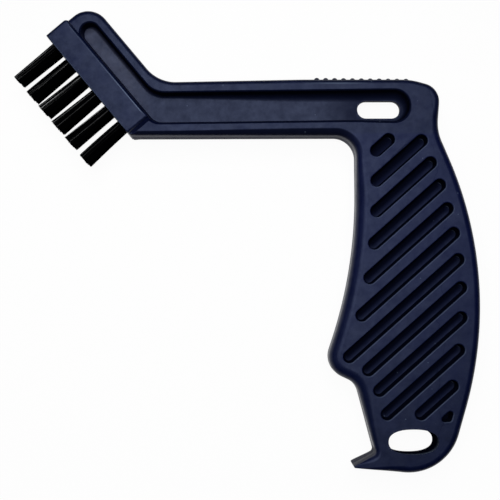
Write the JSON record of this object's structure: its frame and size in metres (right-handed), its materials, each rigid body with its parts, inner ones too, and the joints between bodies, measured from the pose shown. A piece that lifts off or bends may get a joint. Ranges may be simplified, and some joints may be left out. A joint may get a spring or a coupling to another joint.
{
  "type": "buffing wheel cleaning brush",
  "caption": "Pistol-grip hand brush for raking buffing wheels: a navy plastic handle with an arm, an angled head of black nylon tufts, a pocketed grip, a hang hole and a scraper spur.",
  "frame": {"origin": "bottom centre of the bounding box, with the brush lying on its side", "axes": "+X along the arm from the head to the grip, +Y up the grip from its foot to the arm, +Z out of the side face"},
  "size_m": [0.1882, 0.1858, 0.02],
  "materials": {
    "navy_polypropylene": "satin moulded polypropylene",
    "black_nylon": "black nylon filament",
    "anchor_wire": "bright flat wire"
  },
  "bodies": {
    "root": {"moulded_handle": "navy_polypropylene", "tuft_front_1": "black_nylon", "tuft_front_2": "black_nylon", "tuft_front_3": "black_nylon", "tuft_front_4": "black_nylon", "tuft_front_5": "black_nylon", "tuft_front_6": "black_nylon", "tuft_rear_1": "black_nylon", "tuft_rear_2": "black_nylon", "tuft_rear_3": "black_nylon", "tuft_rear_4": "black_nylon", "tuft_rear_5": "black_nylon", "tuft_rear_6": "black_nylon", "anchor_front_1": "anchor_wire", "anchor_front_2": "anchor_wire", "anchor_front_3": "anchor_wire", "anchor_front_4": "anchor_wire", "anchor_front_5": "anchor_wire", "anchor_front_6": "anchor_wire", "anchor_rear_1": "anchor_wire", "anchor_rear_2": "anchor_wire", "anchor_rear_3": "anchor_wire", "anchor_rear_4": "anchor_wire", "anchor_rear_5": "anchor_wire", "anchor_rear_6": "anchor_wire"}
  },
  "joints": []
}
